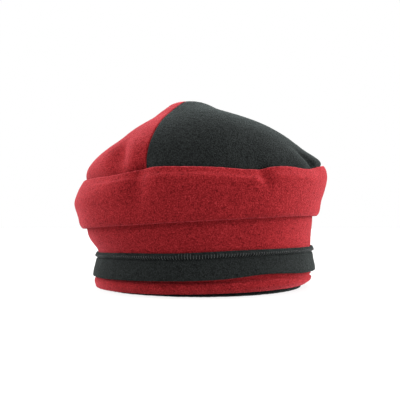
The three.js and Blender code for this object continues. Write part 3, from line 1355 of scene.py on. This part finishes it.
@dataclass(frozen=True)
class ThreadFinish:
    """A spun polyester thread.

    Attributes:
        name: name of the material.
        dark: colour between the plies, darkened as painted shade.
        light: colour of the plies.
        plies: noise of the plies.
        tones: values of that noise that have the dark and the light colour.
        matt: roughness between the plies.
        matt_share: how much rougher the plies are.
        sheen_weight: strength of the loose fibres at a glancing view.
        relief: depth of the plies, in metres.
        relief_strength: how strongly that relief catches the light.
    """

    name: str
    dark: Colour
    light: Colour
    plies: Speckle = Speckle(2600.0, 3.0)
    tones: tuple[float, float] = (0.3, 0.7)
    matt: float = 0.55
    matt_share: float = 0.2
    sheen_weight: float = 0.3
    relief: float = 0.0002
    relief_strength: float = 0.4

    def material(self) -> bpy.types.Material:
        """Builds the finish.

        Returns:
            The material.
        """
        nodes = Nodes(self.name)
        place = nodes.add("ShaderNodeTexCoord", {}).outputs["Object"]
        # The plies' noise gives both their relief and their colour, so the gaps between them hold painted
        # shade.
        plies = nodes.noise(place, self.plies).outputs["Fac"]
        bump = {"Height": plies, "Strength": self.relief_strength, "Distance": self.relief}
        return nodes.finished(
            {
                "Base Color": nodes.ramp(plies, self.tones, (self.dark, self.light)),
                "Roughness": nodes.plus_share(self.matt, plies, self.matt_share),
                "Normal": nodes.add("ShaderNodeBump", bump).outputs[0],
                "Sheen Weight": self.sheen_weight,
            }
        )


@dataclass(frozen=True)
class FloorFinish:
    """A pale floor that glows evenly.

    Attributes:
        name: name of the material.
        grey: share of the light that it throws back.
        roughness: how matt it is.
        gloss: strength of the plain reflection.
        glow: strength of its own light.
    """

    name: str = "floor_white"
    grey: float = 0.2
    roughness: float = 0.9
    gloss: float = 0.1
    glow: float = 0.7

    def material(self) -> bpy.types.Material:
        """Builds the finish.

        Returns:
            The material.
        """
        return Nodes(self.name).finished(
            {
                "Base Color": (self.grey, self.grey, self.grey, 1.0),
                "Roughness": self.roughness,
                "Specular IOR Level": self.gloss,
                "Emission Color": WHITE,
                "Emission Strength": self.glow,
            }
        )


RED_FINISH = FleeceFinish(
    name="red_nap",
    deep=(0.086, 0.0043, 0.0053),
    body=(0.177, 0.0095, 0.0117),
    bright=(0.277, 0.0184, 0.0218),
    fleck=(0.42, 0.05, 0.058),
    sheen=(1.0, 0.16, 0.2),
    sheen_weight=0.5,
    sheen_spread=0.33,
    gloss=0.03,
)
BLACK_FINISH = FleeceFinish(
    name="black_nap",
    deep=(0.0045, 0.0052, 0.0051),
    body=(0.0114, 0.013, 0.0127),
    bright=(0.0203, 0.0233, 0.0229),
    fleck=(0.045, 0.051, 0.05),
    sheen=(0.8, 1.0, 0.98),
    sheen_weight=0.075,
    sheen_spread=0.24,
    gloss=0.02,
)
THREAD_FINISH = ThreadFinish(
    name="black_thread",
    dark=(0.012, 0.0137, 0.0134),
    light=(0.023, 0.0264, 0.0258),
)


@dataclass(frozen=True)
class SoftSun:
    """A wide soft light that is the same all over the floor.

    Attributes:
        name: name of the light.
        towards: direction from the hat to the light.
        spread: width of the light as seen from the hat, in degrees.
        strength: light that falls on a surface that faces it, in watts on a square metre.
    """

    name: str
    towards: Point
    spread: float
    strength: float

    def build(self) -> None:
        """Adds the light to the scene."""
        light = bpy.data.lights.new(self.name, "SUN")
        light.angle = math.radians(self.spread)
        light.energy = self.strength
        lamp = add_object(self.name, light)
        lamp.location = self.towards
        lamp.rotation_euler = facing(-Vector(self.towards))


@dataclass(frozen=True)
class Studio:
    """A plain white studio with soft light and a camera near the height of the hat.

    Attributes:
        eye: place of the camera.
        target: point that it looks at.
        focal_px: focal length for a square picture of frame_px.
        frame_px: width of that picture.
        sensor: width of the camera's sensor.
        floor_width: width of the floor, in metres.
        floor_finish: finish of the floor.
        brightness: strength of the even light all round.
        suns: soft lights.
    """

    eye: Point = (-0.7, -480.0, 52.0)
    target: Point = (-0.7, 0.0, 75.0)
    focal_px: float = 533.0
    frame_px: float = 400.0
    sensor: float = 36.0
    floor_width: float = 14.0
    floor_finish: FloorFinish = FloorFinish()
    brightness: float = 1.0
    suns: tuple[SoftSun, ...] = (
        SoftSun("overhead", (-0.4, 0.5, 0.85), 95.0, 4.2),
        SoftSun("key", (0.9, 0.22, 0.18), 60.0, 10.8),
        SoftSun("fill", (-0.9, 0.42, 0.1), 60.0, 5.2),
    )

    def build(self) -> None:
        """Sets up the camera, the floor, the lights and the surroundings."""
        bpy.context.scene.view_settings.view_transform = "Standard"
        self.camera()
        self.floor()
        self.surroundings()
        for sun in self.suns:
            sun.build()

    def camera(self) -> None:
        """Places the camera and makes it the scene's."""
        lens = bpy.data.cameras.new("camera")
        lens.sensor_width = self.sensor
        lens.lens = self.focal_px / self.frame_px * self.sensor
        camera = add_object("camera", lens)
        eye = Vector(self.eye) * MM
        camera.location = eye
        camera.rotation_euler = facing(Vector(self.target) * MM - eye)
        bpy.context.scene.camera = camera

    def floor(self) -> None:
        """Lays the plain pale floor."""
        half = self.floor_width / 2
        corners = [(-half, -half, 0), (half, -half, 0), (half, half, 0), (-half, half, 0)]
        mesh = bpy.data.meshes.new("floor")
        mesh.from_pydata(corners, [], [(0, 1, 2, 3)])
        floor = add_object("floor", mesh)
        floor.data.materials.append(self.floor_finish.material())

    def surroundings(self) -> None:
        """Fills the studio with an even white light."""
        world = bpy.data.worlds.new("studio")
        world.use_nodes = True
        light = world.node_tree.nodes["Background"]
        light.inputs["Color"].default_value = WHITE
        light.inputs["Strength"].default_value = self.brightness
        bpy.context.scene.world = world


def main() -> None:
    """Builds the studio and the pieces of the hat in order."""
    logging.basicConfig(level=logging.INFO, format="%(name)s: %(message)s")
    Studio().build()
    fleeces = {Cloth.RED: RED_FINISH.material(), Cloth.BLACK: BLACK_FINISH.material()}
    thread = THREAD_FINISH.material()
    walls = [
        LowerSide(),
        Lining(),
        Sash(),
        UpperSide(),
        CrownHalf(name="crown_left", cloth=Cloth.RED, half=Half.LEFT),
        CrownHalf(name="crown_right", cloth=Cloth.BLACK, half=Half.RIGHT, sewn_depth=0.4),
    ]
    for wall in walls:
        piece = wall.build(fleeces[wall.cloth])
        on_it = [OverlockEdge().build(wall, thread)] if isinstance(wall, Sash) else []
        wall.declare(piece, on_it)
        for built in (piece, *on_it):
            LOG.info("%s: %d faces", built.name, len(built.data.polygons))


if __name__ == "__main__":
    main()
